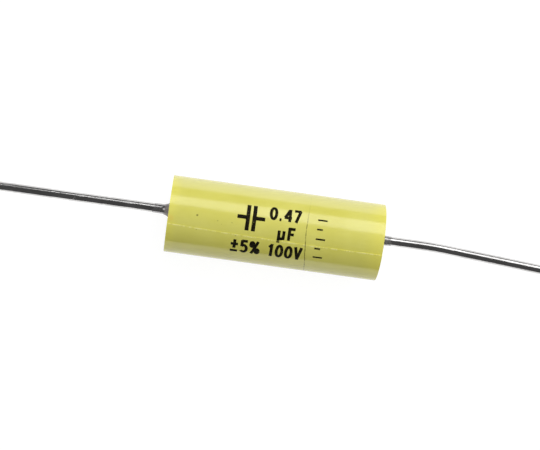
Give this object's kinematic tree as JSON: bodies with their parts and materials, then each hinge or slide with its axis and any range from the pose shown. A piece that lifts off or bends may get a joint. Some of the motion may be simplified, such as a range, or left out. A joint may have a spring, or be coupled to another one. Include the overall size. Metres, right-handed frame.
{
  "type": "axial film capacitor",
  "caption": "Cylindrical polyester film capacitor wrapped in yellow tape, with resin-filled ends and a straight tinned wire lead along the axis at each end.",
  "frame": {"origin": "centre of the wrapped body, on its axis", "axes": "+X along the body's axis towards the bent lead, +Z out of the marked side"},
  "size_m": [0.0738, 0.005, 0.0049],
  "materials": {
    "tape": "smooth yellow polyester film with a soft gloss",
    "film": "metallised film, fine turns on its ends",
    "spray": "rough sprayed metal",
    "resin": "cured casting resin with a smooth dished face",
    "tinned_wire": "bright tinned wire with fine draw marks"
  },
  "bodies": {
    "root": {"wrap": "tape", "film_roll": "film", "end_spray_left": "spray", "end_spray_right": "spray", "end_seal_left": "resin", "end_seal_right": "resin", "lead_left": "tinned_wire", "lead_right": "tinned_wire"}
  },
  "joints": []
}
